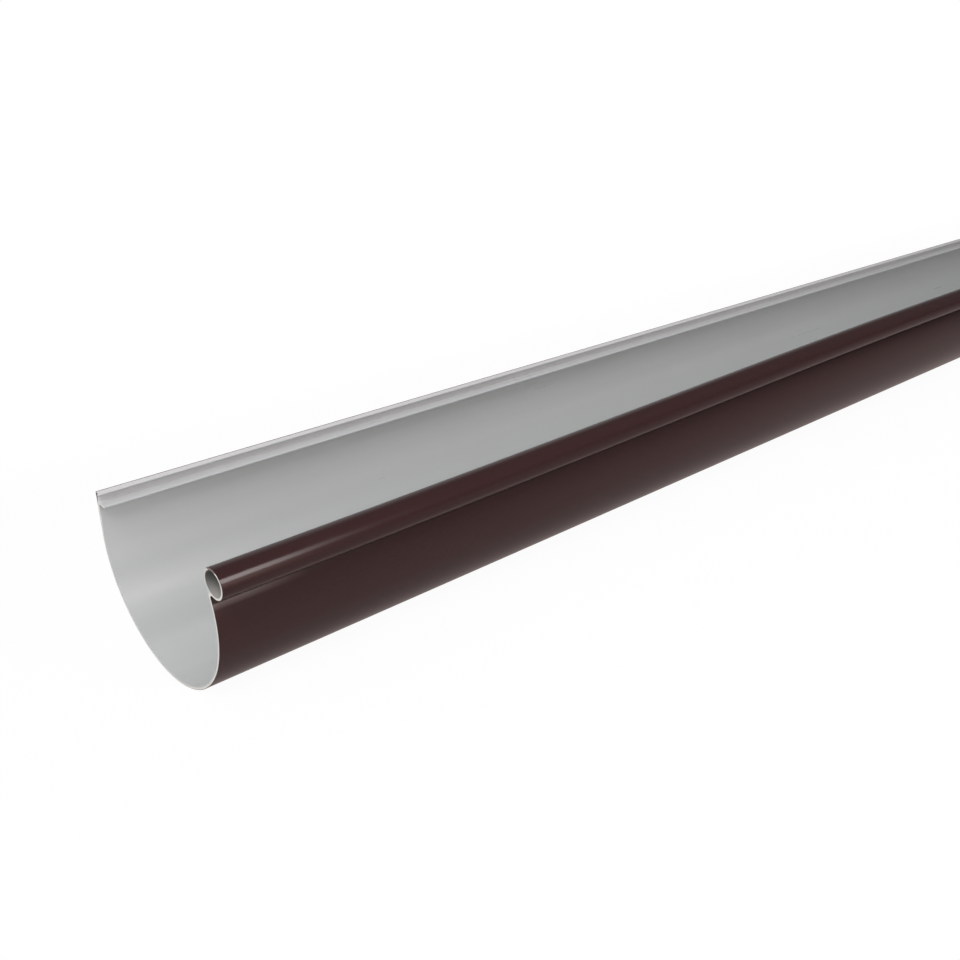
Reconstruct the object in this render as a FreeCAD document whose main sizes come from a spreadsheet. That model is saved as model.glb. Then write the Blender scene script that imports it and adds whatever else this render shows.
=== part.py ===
import FreeCAD, Part
import math
import os

import Sketcher

# Gutter section: one length of deep half-round PVC-U rainwater gutter, extruded in one piece.
# The section is drawn with its back wall upright and the centre of the round channel at the origin:
# sketch x runs from the front bead (-) to the back wall (+), sketch y runs up, and the length is X.
# The finished length is then rolled about X to where it lies by itself on a level floor.

os.makedirs("parts", exist_ok=True)
doc = FreeCAD.newDocument("gutter_section")

sheet = doc.addObject("Spreadsheet::Sheet", "Sizes")
sizes = [
    # the stock
    ("section_length", 2000.0),
    ("channel_radius", 62.5),
    ("channel_wall", 2.0),
    ("back_rise", 28.6),
    ("edge_rounding", 0.5),
    # the hollow front bead
    ("bead_radius", 9.1),
    ("bead_wall", 1.6),
    ("bead_lift_angle", 27.3),
    ("bead_setback", 1.1),
    ("crease_rounding", 1.7),
    # the bracket groove inside the top of the back wall, between the rim and the ledge
    ("rim_reach", 2.8),
    ("rim_thickness", 1.2),
    ("ledge_drop", 6.2),
    ("ledge_reach", 7.0),
    ("ledge_thickness", 1.4),
    ("groove_rounding", 2.2),
]
for row, (name, value) in enumerate(sizes, start=1):
    sheet.set(f"A{row}", name)
    sheet.set(f"B{row}", str(value))
    sheet.setAlias(f"B{row}", name)
doc.recompute()


def size(name):
    return float(sheet.get(name))


def point(x, y):
    return FreeCAD.Vector(x, y, 0)


def new_sketch(body, name):
    """A sketch on the body's own YZ plane, square to the length."""
    plane = [p for p in body.Origin.OriginFeatures if p.Role == "YZ_Plane"][0]
    sketch = body.newObject("Sketcher::SketchObject", name)
    sketch.AttachmentSupport = [(plane, "")]
    sketch.MapMode = "FlatFace"
    return sketch


def drive(sketch, name, kind, *where, formula):
    """Adds one named dimension and ties it to the sheet."""
    index = sketch.addConstraint(Sketcher.Constraint(kind, *where))
    sketch.renameConstraint(index, name)
    sketch.setExpression(f"Constraints.{name}", formula)


def along_length(body, kind, name, sketch):
    """Pads or pockets a sketch over the whole length, the same to both sides."""
    feature = body.newObject(kind, name)
    feature.Profile = sketch
    feature.SideType = "Symmetric"
    feature.setExpression("Length", "Sizes.section_length")
    doc.recompute()
    return feature


def long_edge(feature, place):
    """Name of the edge that runs along the length nearest to a point of the section."""
    best = None
    for number, edge in enumerate(feature.Shape.Edges, start=1):
        start, end = edge.Vertexes[0].Point, edge.Vertexes[-1].Point
        if abs(end.x - start.x) < size("section_length") / 2:
            continue
        gap = math.hypot(start.y - place.x, start.z - place.y)
        if best is None or gap < best[0]:
            best = (gap, f"Edge{number}")
    return best[1]


def round_edges(body, name, before, places, formula):
    """Fillets the long edges that pass nearest to the given points of the section."""
    fillet = body.newObject("PartDesign::Fillet", name)
    fillet.Base = (before, [long_edge(before, place) for place in places])
    fillet.setExpression("Radius", formula)
    doc.recompute()
    return fillet


def rib(body, name, foot, top, reach, thickness_cell, top_formula):
    """Pads a thin rib that stands square on the inner face of the back wall."""
    tip = inner - reach
    root = inner + wall / 2
    sketch = new_sketch(body, f"{name}_section")
    corners = [point(tip, foot), point(root, foot), point(root, top), point(tip, top)]
    sketch.addGeometry(
        [Part.LineSegment(corners[side], corners[(side + 1) % 4]) for side in range(4)], False
    )
    underside, back, upper_face, front = range(4)
    sketch.addConstraint(
        [Sketcher.Constraint("Coincident", side, END, (side + 1) % 4, START) for side in range(4)]
        + [Sketcher.Constraint("Horizontal", side) for side in (underside, upper_face)]
        + [Sketcher.Constraint("Vertical", side) for side in (back, front)]
    )
    drive(sketch, "root_place", "DistanceX", -1, 1, underside, END, root,
          formula="Sizes.channel_radius + Sizes.channel_wall / 2")
    drive(sketch, "tip_place", "DistanceX", -1, 1, underside, START, tip,
          formula=f"Sizes.channel_radius - Sizes.{name}_reach")
    drive(sketch, "top_place", "DistanceY", -1, 1, upper_face, START, top, formula=top_formula)
    drive(sketch, "thickness", "DistanceY", front, END, front, START, top - foot,
          formula=thickness_cell)
    return along_length(body, "PartDesign::Pad", name, sketch)


def bead_circle(body, name, radius, formula):
    """Sketches a circle on the bead's own centre."""
    sketch = new_sketch(body, name)
    sketch.addGeometry(Part.Circle(point(bead_x, bead_y), up, radius), False)
    drive(sketch, "radius", "Radius", 0, radius, formula=formula)
    drive(sketch, "across", "DistanceX", 0, CENTRE, -1, 1, -bead_x,
          formula=f"{bead_distance_formula} * cos(Sizes.bead_lift_angle)")
    drive(sketch, "height", "DistanceY", -1, 1, 0, CENTRE, bead_y,
          formula=f"{bead_distance_formula} * sin(Sizes.bead_lift_angle)")
    return sketch


START, END, CENTRE = 1, 2, 3
centre = point(0, 0)
up = FreeCAD.Vector(0, 0, 1)
full_turn = 2 * math.pi

wall = size("channel_wall")
inner = size("channel_radius")
outer = inner + wall
back_rise = size("back_rise")
rim_foot = back_rise - size("rim_thickness")
rim_tip = inner - size("rim_reach")
ledge_top = back_rise - size("ledge_drop")
ledge_foot = ledge_top - size("ledge_thickness")
ledge_tip = inner - size("ledge_reach")

bead_radius = size("bead_radius")
bead_distance = inner + size("bead_setback") + bead_radius
lift = math.radians(size("bead_lift_angle"))
bead_x = -bead_distance * math.cos(lift)
bead_y = bead_distance * math.sin(lift)
bead_distance_formula = "(Sizes.channel_radius + Sizes.bead_setback + Sizes.bead_radius)"

# Just below the bead the channel's wall runs straight, on the line that touches both the round of the
# channel and the round of the bead. The bead's setback from the channel's inner face gives its slope.
front_turn = math.acos((inner + bead_radius) / bead_distance)
front_slope = lift - front_turn
front_angle = math.pi - front_slope
front_rise = bead_distance * math.sin(front_turn)
front_turn_formula = (
    f"acos((Sizes.channel_radius + Sizes.bead_radius) / {bead_distance_formula})"
)
front_slope_formula = f"(Sizes.bead_lift_angle * 1 deg - {front_turn_formula})"


def on_front(radius, rise):
    """A point of the straight front wall: its distance out from the centre line, and its way up it."""
    return point(
        -radius * math.cos(front_slope) + rise * math.sin(front_slope),
        radius * math.sin(front_slope) + rise * math.cos(front_slope),
    )


gutter = doc.addObject("PartDesign::Body", "gutter_profile")
gutter.Label = "gutter_profile"

# Channel: a band of even thickness, up the back wall, round under the water way and straight up to the bead.
band = new_sketch(gutter, "channel_section")
band.addGeometry(
    [
        Part.ArcOfCircle(Part.Circle(centre, up, outer), front_angle, full_turn),
        Part.LineSegment(point(outer, 0), point(outer, back_rise)),
        Part.LineSegment(point(outer, back_rise), point(inner, back_rise)),
        Part.LineSegment(point(inner, back_rise), point(inner, 0)),
        Part.ArcOfCircle(Part.Circle(centre, up, inner), front_angle, full_turn),
        Part.LineSegment(on_front(inner, 0), on_front(inner, front_rise)),
        Part.LineSegment(on_front(inner, front_rise), on_front(outer, front_rise)),
        Part.LineSegment(on_front(outer, front_rise), on_front(outer, 0)),
    ],
    False,
)
OUTSIDE, BACK_FACE, TOP, INNER_FACE, INSIDE, FRONT_INNER, FRONT_END, FRONT_OUTER = range(8)
band.addConstraint(
    [
        Sketcher.Constraint("Coincident", OUTSIDE, CENTRE, -1, 1),
        Sketcher.Constraint("Coincident", INSIDE, CENTRE, -1, 1),
        Sketcher.Constraint("Tangent", OUTSIDE, END, BACK_FACE, START),
        Sketcher.Constraint("Coincident", BACK_FACE, END, TOP, START),
        Sketcher.Constraint("Coincident", TOP, END, INNER_FACE, START),
        Sketcher.Constraint("Tangent", INNER_FACE, END, INSIDE, END),
        Sketcher.Constraint("Tangent", INSIDE, START, FRONT_INNER, START),
        Sketcher.Constraint("Coincident", FRONT_INNER, END, FRONT_END, START),
        Sketcher.Constraint("Coincident", FRONT_END, END, FRONT_OUTER, START),
        Sketcher.Constraint("Tangent", FRONT_OUTER, END, OUTSIDE, START),
        Sketcher.Constraint("Vertical", BACK_FACE),
        Sketcher.Constraint("Horizontal", TOP),
        Sketcher.Constraint("Perpendicular", FRONT_INNER, FRONT_END),
    ]
)
drive(band, "inside_radius", "Radius", INSIDE, inner, formula="Sizes.channel_radius")
drive(band, "outside_radius", "Radius", OUTSIDE, outer,
      formula="Sizes.channel_radius + Sizes.channel_wall")
drive(band, "back_height", "DistanceY", -1, 1, TOP, START, back_rise, formula="Sizes.back_rise")
drive(band, "front_length", "Distance", FRONT_INNER, front_rise,
      formula=f"{bead_distance_formula} * sin({front_turn_formula})")
drive(band, "front_foot", "DistanceY", -1, 1, FRONT_INNER, START, on_front(inner, 0).y,
      formula=f"Sizes.channel_radius * sin({front_slope_formula})")
channel = along_length(gutter, "PartDesign::Pad", "channel", band)

# Bracket groove: the rim along the top edge and the longer ledge under it hold a bracket's rear clip.
rim = rib(gutter, "rim", rim_foot, back_rise, size("rim_reach"),
          "Sizes.rim_thickness", "Sizes.back_rise")
ledge = rib(gutter, "ledge", ledge_foot, ledge_top, size("ledge_reach"),
            "Sizes.ledge_thickness", "Sizes.back_rise - Sizes.ledge_drop")

# Bead: a round hollow lip outside the front of the channel, open at both ends.
bead_section = bead_circle(gutter, "bead_section", bead_radius, "Sizes.bead_radius")
bead = along_length(gutter, "PartDesign::Pad", "bead", bead_section)
hollow = bead_circle(gutter, "bead_bore_section", bead_radius - size("bead_wall"),
                     "Sizes.bead_radius - Sizes.bead_wall")
bore = along_length(gutter, "PartDesign::Pocket", "bead_bore", hollow)

# The die's radii. The crease is where the wall's outer face runs into the bead from below.
crease_fall = math.sqrt(bead_radius**2 - (bead_radius - wall) ** 2)
crease_point = on_front(outer, front_rise - crease_fall)
crease = round_edges(gutter, "crease_radius", bore, [crease_point], "Sizes.crease_rounding")
groove = round_edges(
    gutter,
    "groove_radius",
    crease,
    [point(inner, rim_foot)],
    "min(Sizes.groove_rounding; Sizes.rim_reach * 0.8;"
    " (Sizes.ledge_drop - Sizes.rim_thickness) * 0.8)",
)
ledge_root = round_edges(
    gutter,
    "ledge_root_radii",
    groove,
    [point(inner, ledge_top), point(inner, ledge_foot)],
    "min(Sizes.edge_rounding; (Sizes.ledge_drop - Sizes.rim_thickness) * 0.15)",
)
ledge_tips = round_edges(
    gutter,
    "ledge_tip_radii",
    ledge_root,
    [point(ledge_tip, ledge_top), point(ledge_tip, ledge_foot)],
    "min(Sizes.edge_rounding; Sizes.ledge_thickness * 0.45)",
)
rim_edges = round_edges(
    gutter,
    "rim_radii",
    ledge_tips,
    [point(outer, back_rise), point(rim_tip, back_rise), point(rim_tip, rim_foot)],
    "min(Sizes.edge_rounding; Sizes.rim_thickness * 0.45)",
)

# At rest the channel rocks until its centre of mass lies straight under the centre of the round.
mass_centre = gutter.Shape.CenterOfGravity
rest_roll = math.degrees(math.atan2(-mass_centre.y, -mass_centre.z))
roll = FreeCAD.Rotation(FreeCAD.Vector(1, 0, 0), rest_roll)
turned = gutter.Shape.copy()
turned.Placement = FreeCAD.Placement(FreeCAD.Vector(0, 0, 0), roll)
reach = turned.optimalBoundingBox(False, False)
gutter.Placement = FreeCAD.Placement(
    FreeCAD.Vector(0, -(reach.YMin + reach.YMax) / 2, -reach.ZMin), roll
)

doc.recompute()
for item in doc.Objects:
    if "Invalid" in item.State or "Error" in item.State:
        raise RuntimeError(f"{item.Name} did not build: {item.State}")
if gutter.Shape.isNull() or not gutter.Shape.isValid():
    raise RuntimeError("gutter_profile is not a valid solid")

gutter.Shape.exportStep(f"parts/{gutter.Label}.step")
print("rest roll", round(rest_roll, 2), "box", gutter.Shape.BoundBox)
print("volume", round(gutter.Shape.Volume), "solids", len(gutter.Shape.Solids))
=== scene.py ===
import math

import bmesh
import bpy
from mathutils import Matrix, Vector


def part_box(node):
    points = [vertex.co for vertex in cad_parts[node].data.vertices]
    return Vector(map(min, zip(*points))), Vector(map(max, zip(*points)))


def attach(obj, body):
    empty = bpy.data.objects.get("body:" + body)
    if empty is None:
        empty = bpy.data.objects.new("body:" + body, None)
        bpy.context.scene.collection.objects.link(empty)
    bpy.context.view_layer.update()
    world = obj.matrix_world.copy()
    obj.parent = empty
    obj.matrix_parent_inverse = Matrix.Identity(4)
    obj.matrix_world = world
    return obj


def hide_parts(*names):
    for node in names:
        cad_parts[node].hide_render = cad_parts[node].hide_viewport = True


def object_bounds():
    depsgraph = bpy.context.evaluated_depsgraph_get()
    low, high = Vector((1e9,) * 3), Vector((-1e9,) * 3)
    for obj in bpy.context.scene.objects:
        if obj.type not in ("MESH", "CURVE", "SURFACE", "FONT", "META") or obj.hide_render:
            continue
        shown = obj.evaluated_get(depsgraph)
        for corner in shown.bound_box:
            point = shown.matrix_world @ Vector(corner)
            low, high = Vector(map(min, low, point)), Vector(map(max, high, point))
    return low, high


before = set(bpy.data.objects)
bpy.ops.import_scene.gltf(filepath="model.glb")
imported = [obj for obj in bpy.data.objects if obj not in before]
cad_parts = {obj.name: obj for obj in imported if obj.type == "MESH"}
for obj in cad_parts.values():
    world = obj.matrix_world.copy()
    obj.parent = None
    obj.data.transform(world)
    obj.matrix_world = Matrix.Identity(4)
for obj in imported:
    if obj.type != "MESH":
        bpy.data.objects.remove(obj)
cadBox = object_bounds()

scene = bpy.context.scene
scene.view_settings.view_transform = "Standard"
mm = 0.001

# The die's section in millimetres and degrees: back wall upright, round channel about (0, 0),
# x towards the back wall and y up. It is rolled to the way the gutter lies at rest.
section = {
    "channelRadius": 62.5, "wall": 2.0, "backRise": 28.6, "edgeRound": 0.5,
    "beadRadius": 9.1, "beadWall": 1.6, "beadLift": 27.3, "beadSetback": 1.1, "creaseRound": 1.7,
    "rimReach": 2.8, "rimThickness": 1.2,
    "ledgeDrop": 6.2, "ledgeReach": 7.0, "ledgeThickness": 1.4, "grooveRound": 2.2,
    "restRoll": 21.62,
    "channelStep": 2.5, "beadStep": 7.5, "cornerStep": 22.5,  # degrees between points of an arc
}

# The brown skin and the grey body come out of the die together.
skin = {
    "beadFrom": 46.0,          # degrees round the bead, where the grey gives way to the skin
    "overTop": 0.9,            # mm of the top edge that the skin covers
    "thin": 0.26,              # mm deep on the cut face, along the round
    "thick": 2.1,              # mm deep there at the top of the back wall
    "thickFrom": 7.5,          # mm below the top edge where it starts to thicken
    "taper": 3.0,              # mm over which it grows from nothing where it starts
    # where the saw dragged the skin over the bead's ring, degrees: from, full, still full, to
    "smear": (50.0, 66.0, 100.0, 118.0),
    "smeared": 1.55,           # mm that it was dragged
    "ringReach": 1.01,         # bead radii from the bead's middle that count as its ring
    "greyBelow": 1.0,          # mm below the ledge where the cut face starts to turn grey
}

length = {
    "stations": 96,            # equal steps between the two ends
    "burr": 0.1,               # mm, the softened rim of a sawn end
    "sharpFrom": 40.0,         # degrees between faces that show as an edge
    "springLength": 0.75,      # metres of each end that spring open
    "springIn": 6.0,           # mm that the bead stands further in along the middle
    "springTurn": 117.0,       # degrees from the foot of the round up to the bead
    "springLever": 114.0,      # mm straight from the foot of the round to the bead
}

# The gutter's materials, in the order of its slots.
finishes = ("brownSkin", "greyBody", "sawnBody", "sawnSkin", "greyBore")


class Wire:
    # One output of a shader node, so that sums can be written as Python sums.
    def __init__(self, tree, socket):
        self.tree = tree
        self.socket = socket

    def sum(self, operation, *values):
        return self.tree.add("Math", {"operation": operation}, *values)

    def __add__(self, other):
        return self.sum("ADD", self, other)

    def __radd__(self, other):
        return self.sum("ADD", other, self)

    def __sub__(self, other):
        return self.sum("SUBTRACT", self, other)

    def __rsub__(self, other):
        return self.sum("SUBTRACT", other, self)

    def __mul__(self, other):
        return self.sum("MULTIPLY", self, other)

    def __rmul__(self, other):
        return self.sum("MULTIPLY", other, self)


class Tree:
    # A node tree that is filled by one call per node.
    def __init__(self, block):
        block.use_nodes = True
        self.nodes = block.node_tree.nodes
        self.links = block.node_tree.links
        self.nodes.clear()

    def add(self, kind, settings=None, *values, out=0, **named):
        made = self.nodes.new("ShaderNode" + kind)
        for key, value in (settings or {}).items():
            setattr(made, key, value)
        for number, value in enumerate(values):
            self.feed(made.inputs[number], value)
        for key, value in named.items():
            self.feed(self.find(made, key), value)
        return Wire(self, made.outputs[out]) if len(made.outputs) else None

    def find(self, made, key):
        wanted = key.lower()
        for socket in made.inputs:
            if socket.enabled and socket.name.replace(" ", "").lower() == wanted:
                return socket
        raise KeyError(key)

    def feed(self, socket, value):
        if value is None:
            return
        if isinstance(value, Wire):
            self.links.new(value.socket, socket)
        else:
            socket.default_value = value

    def mix(self, amount, first, second):
        settings = {"data_type": "RGBA"}
        return self.add("Mix", settings, out=2, factor=amount, a=first, b=second)


def grey(level):
    return (level, level, level, 1.0)


def paint(red, green, blue):
    # Linear colour from the 0 to 255 values of a colour chart.
    def linear(value):
        part = value / 255
        return part / 12.92 if part <= 0.04045 else ((part + 0.055) / 1.055) ** 2.4
    return (linear(red), linear(green), linear(blue), 1.0)


def arc(middle, radius, start, end, step):
    # Points on a round, both ends with it, in the direction from start to end.
    count = max(2, math.ceil(abs(end - start) / step))
    turns = [math.radians(start + (end - start) * k / count) for k in range(count + 1)]
    return [Vector((middle[0] + radius * math.cos(t), middle[1] + radius * math.sin(t)))
            for t in turns]


def rounded(chain, step):
    # A run of straight faces, (x, y, radius) at each corner, with its corners rounded.
    places = [Vector(corner[:2]) for corner in chain]
    found = [places[0]]
    for before, here, after, corner in zip(places, places[1:], places[2:], chain[1:]):
        radius = corner[2]
        if not radius:
            found.append(here)
            continue
        into, out = (before - here).normalized(), (after - here).normalized()
        half = into.angle(out) / 2
        middle = here + (into + out).normalized() * radius / math.sin(half)
        first = here + into * radius / math.tan(half) - middle
        last = here + out * radius / math.tan(half) - middle
        turn = first.angle_signed(last)  # clockwise is positive
        count = max(2, math.ceil(abs(math.degrees(turn)) / step))
        for k in range(count + 1):
            found.append(middle + Matrix.Rotation(-turn * k / count, 2) @ first)
    return found + [places[-1]]


def sectionChains(s):
    # The grey chain runs from the top of the back wall down the inside and up to the bead,
    # the brown one round the bead, under the channel and up the back to the same place.
    inner, wall, rb = s["channelRadius"], s["wall"], s["beadRadius"]
    outer = inner + wall
    top = s["backRise"]
    ledge = top - s["ledgeDrop"]
    ledgeTip, rimTip = inner - s["ledgeReach"], inner - s["rimReach"]
    edge, groove = s["edgeRound"], s["grooveRound"]

    distance = inner + s["beadSetback"] + rb
    turn = math.acos((inner + rb) / distance)
    slope = math.radians(s["beadLift"]) - turn
    rise = distance * math.sin(turn)
    front = 180 - math.degrees(slope)

    def onFront(radius, up):
        return Vector((-radius * math.cos(slope) + up * math.sin(slope),
                       radius * math.sin(slope) + up * math.cos(slope)))

    beadMiddle = onFront(inner + rb, rise)
    crease = s["creaseRound"]
    fall = math.sqrt((rb + crease) ** 2 - (rb - wall - crease) ** 2)
    creaseMiddle = onFront(outer + crease, rise - fall)
    inward = front - 180.0  # from the bead's middle to where the wall's inner face touches it
    meets = math.degrees(math.atan2(*reversed(creaseMiddle - beadMiddle)))
    fromWall = math.degrees(math.atan2(*reversed(onFront(outer, rise - fall) - creaseMiddle)))

    inside = rounded([
        (outer - skin["overTop"], top, 0), (rimTip, top, edge),
        (rimTip, top - s["rimThickness"], edge), (inner, top - s["rimThickness"], groove),
        (inner, ledge, edge), (ledgeTip, ledge, edge),
        (ledgeTip, ledge - s["ledgeThickness"], edge), (inner, ledge - s["ledgeThickness"], edge),
        (inner, 0, 0)], s["cornerStep"])
    inside += arc((0, 0), inner, 0, front - 360, s["channelStep"])[1:]
    inside += [onFront(inner, rise / 2)]
    inside += arc(beadMiddle, rb, inward, skin["beadFrom"], s["beadStep"])

    bead = arc(beadMiddle, rb, skin["beadFrom"], inward + (meets - inward) % 360, s["beadStep"])
    start = meets + 180
    sweep = (fromWall - start + 180) % 360 - 180
    outside = bead + arc(creaseMiddle, crease, start, start + sweep, s["cornerStep"])[1:]
    creaseFoot = outside[-1]
    outside += [onFront(outer, (rise - fall) / 2), onFront(outer, 0)]
    outside += arc((0, 0), outer, front, 360, s["channelStep"])[1:]
    outside += [Vector((outer, top / 3)), Vector((outer, top * 2 / 3))]
    outside += rounded([
        (outer, top * 2 / 3, 0), (outer, top, edge), (outer - skin["overTop"], top, 0),
    ], s["cornerStep"])[1:]
    bore = arc(beadMiddle, rb - s["beadWall"], 0, -360, s["beadStep"])[:-1]
    return inside, outside, bore, beadMiddle, creaseFoot


def runLengths(loop):
    # Millimetres round a closed loop up to each of its points, and once round at the end.
    found = [0.0]
    for here, after in zip(loop, loop[1:] + loop[:1]):
        found.append(found[-1] + (after - here).length)
    return found


def intoMaterial(loop):
    # At each point of a closed loop, the unit vector into the plastic, which is on its left.
    found = []
    for before, after in zip(loop[-1:] + loop[:-1], loop[1:] + loop[:1]):
        along = (after - before).normalized()
        found.append(Vector((-along.y, along.x)))
    return found


inside, outside, bore, beadMiddle, creaseFoot = sectionChains(section)
outline = inside[:-1] + outside[:-1]
around = runLengths(outline)
creaseAt = around[outline.index(creaseFoot)]
low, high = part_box("gutter_profile")
outerRadius = section["channelRadius"] + section["wall"]
roll = math.radians(section["restRoll"])
beadReach = section["channelRadius"] + section["beadSetback"] + section["beadRadius"]
beadFront = beadReach * math.cos(math.radians(section["beadLift"]) - roll) + section["beadRadius"]
roundMiddle = Vector((0, (beadFront - outerRadius) / 2 * mm, outerRadius * mm))


def sprung(x, point):
    # The sawn ends spring open. Away from them the front half curls in about the round's foot.
    fromEnd = min(x - low.x, high.x - x) / length["springLength"]
    share = math.sin(math.pi / 2 * min(1.0, max(0.0, fromEnd))) ** 2
    turned = math.atan2(-point.x, -point.y)  # 0 at the foot of the round, growing to the front
    if share == 0 or turned <= 0:
        return point
    out = min(1.0, turned / math.radians(length["springTurn"]))
    reach = Vector((point.x, point.y + outerRadius))
    angle = length["springIn"] * share * out ** 2 / length["springLever"]
    return Vector((0, -outerRadius)) + Matrix.Rotation(-angle, 2) @ reach


def inPlace(x, point):
    # A point of the section, in millimetres, put at x metres along the gutter as it lies.
    point = sprung(x, point)
    y = point.x * math.cos(roll) - point.y * math.sin(roll)
    z = point.x * math.sin(roll) + point.y * math.cos(roll)
    return Vector((x, roundMiddle.y + y * mm, roundMiddle.z + z * mm))


def ease(value, start, end):
    part = min(1.0, max(0.0, (value - start) / (end - start)))
    return part * part * (3 - 2 * part)


def skinDepth(k, chain):
    # Depth of the brown skin on the cut face at point k of its chain, nothing where it starts.
    spot = chain[k]
    near = min((spot - chain[0]).length, skin["taper"]) / skin["taper"]
    below = section["backRise"] - spot.y
    grown = ease(1 - below / skin["thickFrom"], 0, 1) if spot.x > 0 else 0.0
    depth = skin["thin"] + (skin["thick"] - skin["thin"]) * grown
    onBead = spot - beadMiddle
    if onBead.length < section["beadRadius"] * skin["ringReach"]:
        turned = math.degrees(math.atan2(onBead.y, onBead.x))
        start, full, still, end = skin["smear"]
        over = ease(turned, start, full) * (1 - ease(turned, still, end))
        depth += (skin["smeared"] - depth) * over
    return near * depth


bakeMap = {
    # where the export's map holds each part of the surface, from 0 to 1
    "ends": (0.008, 0.992), "burr": 0.004,              # along the gutter, and room for a burr
    "outline": (0.335, 0.925), "bore": (0.935, 0.985),  # round the section
    "cutFaces": ((0.01, 0.01), (0.51, 0.01)),           # corner of each of the two sawn faces
    "cutScale": 2.6,                                    # their size for a metre
}

# How grey a sawn face is along the edges of its skin, of the bead's bore and of the inside.
cutLevels = {"skin": 0.0, "bore": 0.7, "inside": 1.0}


def mapFaces(bm, places, greyPoints, borePoints):
    # "section" holds metres round the section and along the gutter, for the materials, and
    # on a sawn face one of the levels above. "OFBake" spreads it all out for the export.
    skinMap = bm.loops.layers.uv.new("section")
    bakeLayer = bm.loops.layers.uv.new("OFBake")
    first, last = bakeMap["ends"]
    burr = bakeMap["burr"]
    inner = places[1:-1]
    along = [first + (last - first) * (x - inner[0]) / (inner[-1] - inner[0]) for x in inner]
    along = [first - burr] + along + [last + burr]
    bands = ((around, bakeMap["outline"]), (runLengths(bore), bakeMap["bore"]))
    strip = 0
    for number in range(len(places) - 1):
        stations = (number, number, number + 1, number + 1)
        for runs, (start, end) in bands:
            for k in range(len(runs) - 1):
                face = bm.faces[strip]
                strip += 1
                across = (runs[k], runs[k + 1], runs[k + 1], runs[k])
                for corner, run, station in zip(face.loops, across, stations):
                    corner[skinMap].uv = (run * mm, places[station])
                    share = run / runs[-1]
                    corner[bakeLayer].uv = (along[station], start + (end - start) * share)

    front = cadBox[0][1]
    for face in bm.faces[strip:]:
        left, bottom = bakeMap["cutFaces"][0 if face.calc_center_median().x < 0 else 1]
        for corner in face.loops:
            spot = corner.vert.co
            if corner.vert in greyPoints:
                level = cutLevels["inside"]
            elif corner.vert in borePoints:
                level = cutLevels["bore"]
            else:
                level = cutLevels["skin"]
            corner[skinMap].uv = (level, spot.x)
            corner[bakeLayer].uv = (left + (spot.y - front) * bakeMap["cutScale"],
                                    bottom + spot.z * bakeMap["cutScale"])


def buildGutter():
    brownFrom = len(inside) - 1  # the outline's first points are grey, the rest brown
    loops = [(outline, intoMaterial(outline)), (bore, intoMaterial(bore))]
    burr = length["burr"]
    first, last = low.x, high.x
    count = length["stations"]
    places = [first, first + burr * mm]
    places += [first + (last - first) * k / count for k in range(1, count)]
    places += [last - burr * mm, last]

    bm = bmesh.new()
    rings = []
    for number, x in enumerate(places):
        inset = burr if number in (0, len(places) - 1) else 0.0
        rings.append([[bm.verts.new(inPlace(x, p + n * inset)) for p, n in zip(line, into)]
                      for line, into in loops])
    for ring, after in zip(rings, rings[1:]):
        for number, (here, there) in enumerate(zip(ring, after)):
            for k in range(len(here)):
                following = (k + 1) % len(here)
                face = bm.faces.new((here[k], here[following], there[following], there[k]))
                face.smooth = True
                skinOrBody = "brownSkin" if k >= brownFrom else "greyBody"
                face.material_index = finishes.index(skinOrBody if number == 0 else "greyBore")

    for ring, x in ((rings[0], places[0]), (rings[-1], places[-1])):
        rim = ring[0]
        brown = rim[brownFrom:] + rim[:1]
        shape, into = loops[0]
        strip = [brown[0]]
        for k in range(1, len(brown) - 1):
            point = shape[brownFrom + k] + into[brownFrom + k] * (burr + skinDepth(k, outside))
            strip.append(bm.verts.new(inPlace(x, point)))
        corner = shape[0] + into[0] * (burr + skinDepth(len(outside) - 1, outside))
        strip.append(bm.verts.new(inPlace(x, corner)))
        for k in range(len(brown) - 1):
            corners = [brown[k], brown[k + 1], strip[k + 1], strip[k]]
            face = bm.faces.new(corners[:3] if k == 0 else corners)
            face.material_index = finishes.index("sawnSkin")
        edge = strip + [brown[-1]]
        pairs = list(zip(edge, edge[1:])) + list(zip(rim[:brownFrom], rim[1:brownFrom + 1]))
        pairs += list(zip(ring[1], ring[1][1:] + ring[1][:1]))
        bounds = [bm.edges.get(pair) or bm.edges.new(pair) for pair in pairs]
        made = bmesh.ops.triangle_fill(bm, edges=bounds, use_beauty=True, use_dissolve=False)
        for item in made["geom"]:
            if isinstance(item, bmesh.types.BMFace):
                item.material_index = finishes.index("sawnBody")

    bm.faces.ensure_lookup_table()
    ledgeFoot = section["backRise"] - section["ledgeDrop"] - section["ledgeThickness"]
    firstGrey = next(k for k, spot in enumerate(inside) if spot.y < ledgeFoot - skin["greyBelow"])
    ends = (rings[0], rings[-1])
    greyPoints = {point for ring in ends for point in ring[0][firstGrey:brownFrom + 1]}
    borePoints = {point for ring in ends for point in ring[1]}
    mapFaces(bm, places, greyPoints, borePoints)
    bmesh.ops.recalc_face_normals(bm, faces=bm.faces)
    mesh = bpy.data.meshes.new("gutter")
    bm.to_mesh(mesh)
    bm.free()
    mesh.set_sharp_from_angle(angle=math.radians(length["sharpFrom"]))
    made = bpy.data.objects.new("gutter", mesh)
    scene.collection.objects.link(made)
    return made


gutter = buildGutter()
print("gutter", len(gutter.data.vertices), "points", len(gutter.data.polygons), "faces")


def place(tree):
    # Metres in the die's own frame: X along the gutter, Y to the back wall, Z up that wall.
    spot = tree.add("TexCoord", None, out=3)
    spot = tree.add("VectorMath", {"operation": "SUBTRACT"}, spot, roundMiddle)
    settings = {"rotation_type": "X_AXIS", "invert": True}
    return tree.add("VectorRotate", settings, Vector=spot, Angle=roll)


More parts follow.
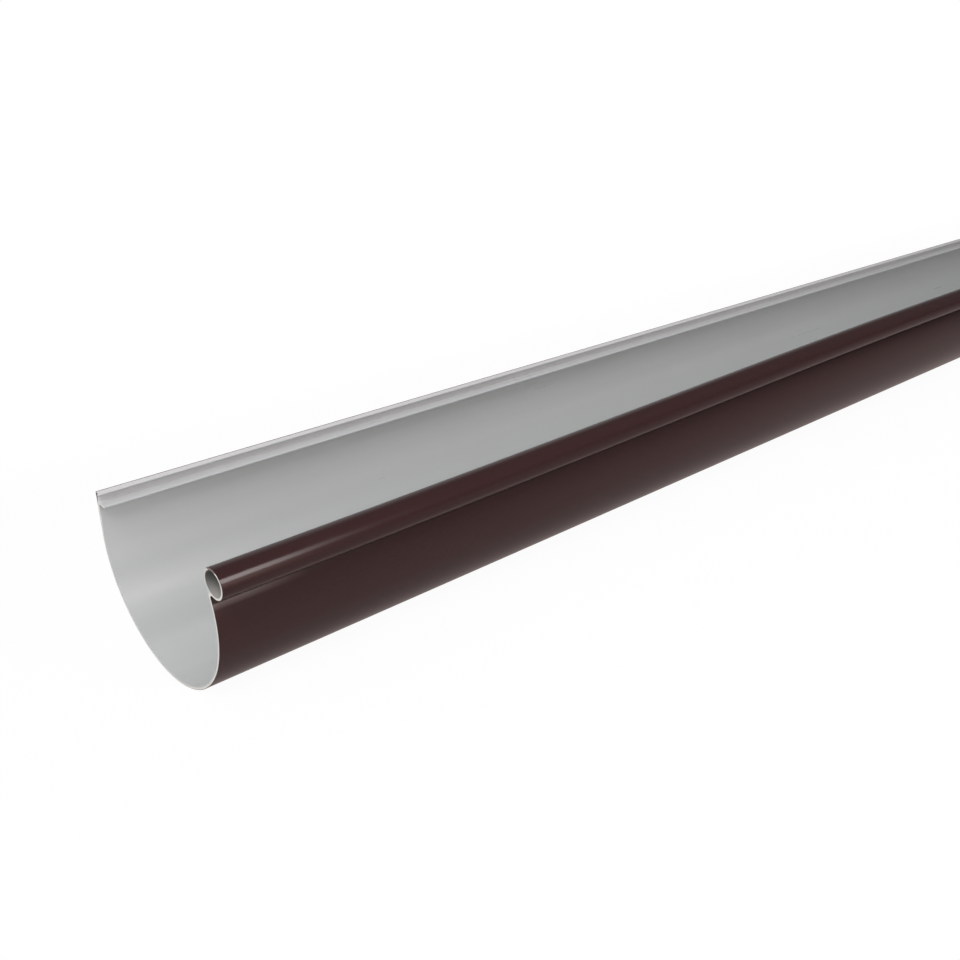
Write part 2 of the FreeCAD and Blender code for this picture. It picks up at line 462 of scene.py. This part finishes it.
def onSkin(tree):
    # X is metres round the section from the top of the back wall, Y metres along the gutter.
    return tree.add("UVMap", {"uv_map": "section"})


def noise(tree, where, stretch, detail=2.0, rough=0.5):
    # Even noise from 0 to 1, stretch gives its repeats in a metre along each axis.
    spot = tree.add("VectorMath", {"operation": "MULTIPLY"}, where, stretch)
    return tree.add("TexNoise", {"noise_dimensions": "3D", "normalize": True}, Vector=spot,
                    Scale=1.0, Detail=detail, Roughness=rough)


def spread(tree, value, start, end, first=0.0, last=1.0):
    return tree.add("MapRange", {"clamp": True}, value, start, end, first, last)


def band(tree, run, edges):
    # 1 between the middle two of four edges, in mm, and 0 outside the other two.
    start, full, still, end = [edge * mm for edge in edges]
    return spread(tree, run, start, full) * spread(tree, run, still, end, 1.0, 0.0)


dieMarks = {
    # what both plastics have from the die
    "bandFrom": (0.35, 0.7),                   # noise levels between the body's two colours
    "hazeShare": 0.6, "lineShare": 0.4,        # how the gloss is shared out
    "roughFrom": (0.35, 0.65), "bump": 0.5,
}


def dieFinish(tree, values):
    # Fine lines and broad bands along the gutter, and a patchy haze.
    lines = noise(tree, onSkin(tree), values["lines"], detail=3.0, rough=0.6)
    bands = noise(tree, onSkin(tree), values["bands"])
    haze = noise(tree, place(tree), values["haze"], detail=4.0, rough=values["hazeRough"])
    banded = spread(tree, bands, *dieMarks["bandFrom"])
    hazed = spread(tree, haze, *values["hazeFrom"], 0.0, values["hazed"])
    colour = tree.mix(banded, values["colour"], values["banded"])
    colour = tree.mix(hazed, colour, values["dust"])
    uneven = haze * dieMarks["hazeShare"] + lines * dieMarks["lineShare"]
    rough = spread(tree, uneven, *dieMarks["roughFrom"], values["gloss"], values["roughest"])
    bump = tree.add("Bump", None, Strength=dieMarks["bump"], Distance=values["lineDepth"],
                    Height=lines)
    return colour, rough, bump


plasticIor = 1.53


def finish(tree, **values):
    shader = tree.add("BsdfPrincipled", None, IOR=plasticIor, **values)
    tree.add("OutputMaterial", None, shader)


brownSkin = {
    "colour": paint(47, 28, 29), "banded": paint(51, 31, 31), "dust": paint(96, 84, 80),
    "gloss": 0.15, "roughest": 0.21,
    # repeats in a metre: round the section and along it, and in the die's frame
    "lines": (620, 0.06, 0), "bands": (45, 0.5, 0), "haze": (9, 30, 30),
    "lineDepth": 0.000011,
    "hazeRough": 0.65, "hazeFrom": (0.55, 0.8), "hazed": 0.03,
    # places in mm from the crease under the bead, down the wall, and back round the bead below 0:
    # from, full, still full, to
    "bloom": paint(104, 90, 88), "bloomed": 0.85,  # painted highlight: a lighter band on the wall under the bead, near the sawn ends
    "bloomAt": (0.0, 3.5, 3.5, 7.4),
    "bloomLong": (0.018, 0.058),                   # metres from a sawn end over which it goes
    "rub": paint(92, 76, 72), "rubbed": 0.65,      # painted highlight: a light line along the underside of the bead
    "rubAt": (-16.0, -12.2, -11.2, -9.8),
    "crease": paint(26, 16, 15),                   # painted shade: darker in the crease under the bead
    "creaseAt": (-6.0, 0.0, 3.0, 3.7),
}


def brownMaterial():
    values = brownSkin
    made = bpy.data.materials.new("brownSkin")
    tree = Tree(made)
    colour, rough, bump = dieFinish(tree, values)
    down = tree.add("SeparateXYZ", None, onSkin(tree))
    along = tree.add("SeparateXYZ", None, onSkin(tree), out=1)
    bloom, rub, creaseShade = [band(tree, down, [creaseAt + edge for edge in values[key]])
                        for key in ("bloomAt", "rubAt", "creaseAt")]
    # painted highlight line along the underside of the bead
    colour = tree.mix(rub * values["rubbed"], colour, values["rub"])
    # painted highlight on the wall under the bead, fading out away from the sawn ends
    fromEnd = high.x - along.sum("ABSOLUTE", along)
    nearEnd = spread(tree, fromEnd, *values["bloomLong"], 1.0, 0.0)
    colour = tree.mix(bloom * nearEnd * values["bloomed"], colour, values["bloom"])
    # painted shade in the crease under the bead
    colour = tree.mix(creaseShade, colour, values["crease"])
    finish(tree, BaseColor=colour, Roughness=rough, Normal=bump)
    return made


greyBody = {
    "colour": paint(184, 186, 186), "banded": paint(178, 180, 180), "dust": paint(164, 165, 164),
    "gloss": 0.27, "roughest": 0.34,
    "lines": (420, 0.06, 0), "bands": (38, 0.6, 0), "haze": (14, 26, 26),  # repeats in a metre
    "lineDepth": 0.000004,
    "hazeRough": 0.6, "hazeFrom": (0.55, 0.85), "hazed": 0.12,
    # places in mm round the inside from the top edge, for painted light and shade: a painted
    # highlight on the rim, the groove painted lighter and the ledge painted darker
    "rim": paint(194, 191, 192), "rimAt": (0.0, 0.3, 3.2, 3.8),
    "groove": paint(187, 186, 187), "grooveFrom": (7.6, 9.0), "grooveTo": (11.5, 13.5),
    "ledge": paint(176, 177, 178), "ledgeTo": (19.0, 20.0),
    # painted shade in the bore: how much of its colour it keeps, towards its dark side and towards
    # its light side
    "bore": paint(188, 184, 180), "boreDark": 0.24, "boreLight": 0.76,
}


def greyMaterial(name, inBore=False):
    values = greyBody
    made = bpy.data.materials.new(name)
    tree = Tree(made)
    colour, rough, bump = dieFinish(tree, values)
    if inBore:
        # painted shade: the bore is darkened, most towards the back wall and up, least towards the
        # front and down
        back = tree.add("SeparateXYZ", None, place(tree), out=1)
        up = tree.add("SeparateXYZ", None, place(tree), out=2)
        middle = (beadMiddle.x + beadMiddle.y) * mm
        half = section["beadRadius"] * mm
        boreLitShare = spread(tree, back + up, middle - half, middle + half,
                      values["boreLight"], values["boreDark"])
        colour = tree.mix(boreLitShare, grey(0.0), values["bore"])
    else:
        down = tree.add("SeparateXYZ", None, onSkin(tree))
        intoGroove, intoLedge, pastLedge = [
            spread(tree, down, *[edge * mm for edge in values[key]])
            for key in ("grooveFrom", "grooveTo", "ledgeTo")]
        # painted light and shade round the inside: the ledge darker, the groove lighter, the rim's
        # top lighter
        colour = tree.mix(intoLedge * (1 - pastLedge), colour, values["ledge"])
        colour = tree.mix(intoGroove * (1 - intoLedge), colour, values["groove"])
        colour = tree.mix(band(tree, down, values["rimAt"]), colour, values["rim"])
    finish(tree, BaseColor=colour, Roughness=rough, Normal=bump)
    return made


sawnFace = {
    "colour": paint(232, 228, 224), "darker": paint(212, 209, 203),
    "inside": paint(192, 193, 191), "insideFrom": (0.3, 0.85),  # towards the grey side of the wall
    "skin": paint(98, 82, 79), "skinChalk": paint(140, 128, 125),
    "rough": 0.7,
    "teeth": (60, 60, 900), "patches": (90, 90, 90),            # repeats in a metre
    "teethShare": 0.6, "patchShare": 0.4, "shadeFrom": (0.35, 0.65),
    "markDepth": 0.00008, "bump": 0.6,
}


def sawnMaterial(name, colour, darker, inside=None):
    values = sawnFace
    made = bpy.data.materials.new(name)
    tree = Tree(made)
    marks = noise(tree, place(tree), values["teeth"], detail=3.0, rough=0.6)
    patches = noise(tree, place(tree), values["patches"], detail=3.0)
    uneven = marks * values["teethShare"] + patches * values["patchShare"]
    shade = tree.mix(spread(tree, uneven, *values["shadeFrom"]), darker, colour)
    if inside:
        level = tree.add("SeparateXYZ", None, onSkin(tree))
        shade = tree.mix(spread(tree, level, *values["insideFrom"]), shade, inside)
    bump = tree.add("Bump", None, Strength=values["bump"], Distance=values["markDepth"],
                    Height=marks)
    finish(tree, BaseColor=shade, Roughness=values["rough"], Normal=bump)
    return made


bodyColours = sawnFace["colour"], sawnFace["darker"], sawnFace["inside"]
materials = {
    "brownSkin": brownMaterial(),
    "greyBody": greyMaterial("greyBody"),
    "sawnBody": sawnMaterial("sawnBody", *bodyColours),
    "sawnSkin": sawnMaterial("sawnSkin", sawnFace["skin"], sawnFace["skinChalk"]),
    "greyBore": greyMaterial("greyBore", inBore=True),
}
for name in finishes:
    gutter.data.materials.append(materials[name])
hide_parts("gutter_profile")
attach(gutter, "root")
print("materials done")

floorSize = {
    "half": 6.0, "below": 0.0002,  # metres
    "shade": paint(240, 240, 240),
    "shown": 0.96, "plainFrom": 0.9, "plainTo": 1.6,  # how far white covers the floor's own shade
    "glossFront": 0.045, "glossBack": 0.4,            # what gloss sees of it
    "frontAt": -0.25, "backAt": 0.05,
    "warm": (1.0, 0.84, 0.81, 1.0), "polish": (0.26, 0.22, 0.2, 1.0), "polishRough": 0.3,
}


def buildFloor():
    values = floorSize
    bm = bmesh.new()
    bmesh.ops.create_grid(bm, x_segments=2, y_segments=2, size=values["half"])
    mesh = bpy.data.meshes.new("floor")
    bm.to_mesh(mesh)
    bm.free()
    made = bpy.data.objects.new("floor", mesh)
    made.location.z = low.z - values["below"]
    scene.collection.objects.link(made)
    material = bpy.data.materials.new("paleFloor")
    tree = Tree(material)
    seen = tree.add("LightPath", None, out=0)
    gloss = tree.add("LightPath", None, out=3)
    where = tree.add("SeparateXYZ", None, tree.add("TexCoord", None, out=3), out=1)
    far = spread(tree, where.sum("ABSOLUTE", where), values["plainFrom"], values["plainTo"],
                 values["shown"], 1.0)
    below = spread(tree, where, values["frontAt"], values["backAt"],
                   values["glossFront"], values["glossBack"])
    plain = tree.add("BsdfDiffuse", None, Color=values["shade"])
    white = tree.add("Emission", None, Color=grey(1.0), Strength=1.0)
    mirrored = tree.add("Emission", None, Color=values["warm"], Strength=below)
    polish = tree.add("BsdfAnisotropic", None, Color=values["polish"],
                      Roughness=values["polishRough"])
    mirrored = tree.add("AddShader", None, mirrored, polish)
    shown = tree.add("MixShader", None, seen * far, plain, white)
    shown = tree.add("MixShader", None, gloss, shown, mirrored)
    tree.add("OutputMaterial", None, shown)
    mesh.materials.append(material)


studio = {
    "around": 0.54,
    "mirroredFront": 0.088, "mirroredBack": 0.42,  # what gloss sees of it
    "frontAt": 0.15, "backAt": 0.6,
}


def buildWorld():
    world = bpy.data.worlds.new("studio")
    scene.world = world
    tree = Tree(world)
    seen = tree.add("LightPath", None, out=0)
    gloss = tree.add("LightPath", None, out=3)
    plain = tree.add("Background", None, Color=grey(1.0), Strength=studio["around"])
    white = tree.add("Background", None, Color=grey(1.0), Strength=1.0)
    towards = tree.add("SeparateXYZ", None, tree.add("TexCoord", None, out=0), out=1)
    level = spread(tree, towards, studio["frontAt"], studio["backAt"],
                   studio["mirroredFront"], studio["mirroredBack"])
    mirrored = tree.add("Background", None, Color=grey(1.0), Strength=level)
    shown = tree.add("MixShader", None, seen, plain, white)
    shown = tree.add("MixShader", None, gloss, shown, mirrored)
    tree.add("OutputWorld", None, shown)


lamps = {
    # name: (place, looks at, width, height, watts, shows in gloss, colour)
    "key": ((-1.9, -1.4, 1.7), (-0.95, 0, 0.05), 1.3, 1.1, 39.5, False, (1, 1, 1)),
    "bank": ((-0.59, -1.4, 0.33), (-0.95, -0.05, 0.06), 0.55, 0.62, 6.1, True, (1, 0.92, 0.9)),
}


def buildLamps():
    for name, (spot, target, width, height, watts, inGloss, colour) in lamps.items():
        data = bpy.data.lights.new(name, "AREA")
        data.shape = "RECTANGLE"
        data.size, data.size_y, data.energy, data.color = width, height, watts, colour
        lamp = bpy.data.objects.new(name, data)
        lamp.location = spot
        lamp.visible_glossy = inGloss
        lamp.rotation_euler = (Vector(target) - Vector(spot)).to_track_quat("-Z", "Y").to_euler()
        scene.collection.objects.link(lamp)


cameraView = {
    "place": (-1.20757, -0.55433, 0.20207),
    "azimuth": 39.686, "elevation": 18.738, "tilt": -10.987,
    "lens": 39.303, "sensor": 36.0, "shift": (-0.05121, 0.13033), "nearest": 0.01,
}


def buildCamera():
    values = cameraView
    data = bpy.data.cameras.new("camera")
    data.lens, data.sensor_width = values["lens"], values["sensor"]
    data.shift_x, data.shift_y = values["shift"]
    data.clip_start = values["nearest"]
    camera = bpy.data.objects.new("camera", data)
    turn = Matrix.Rotation(-math.radians(values["azimuth"]), 4, "Z")
    turn = turn @ Matrix.Rotation(math.radians(90 - values["elevation"]), 4, "X")
    turn = turn @ Matrix.Rotation(math.radians(values["tilt"]), 4, "Z")
    camera.matrix_world = Matrix.Translation(values["place"]) @ turn
    scene.collection.objects.link(camera)
    scene.camera = camera


buildFloor()
buildWorld()
buildLamps()
buildCamera()
print("stage, lamps and camera done")
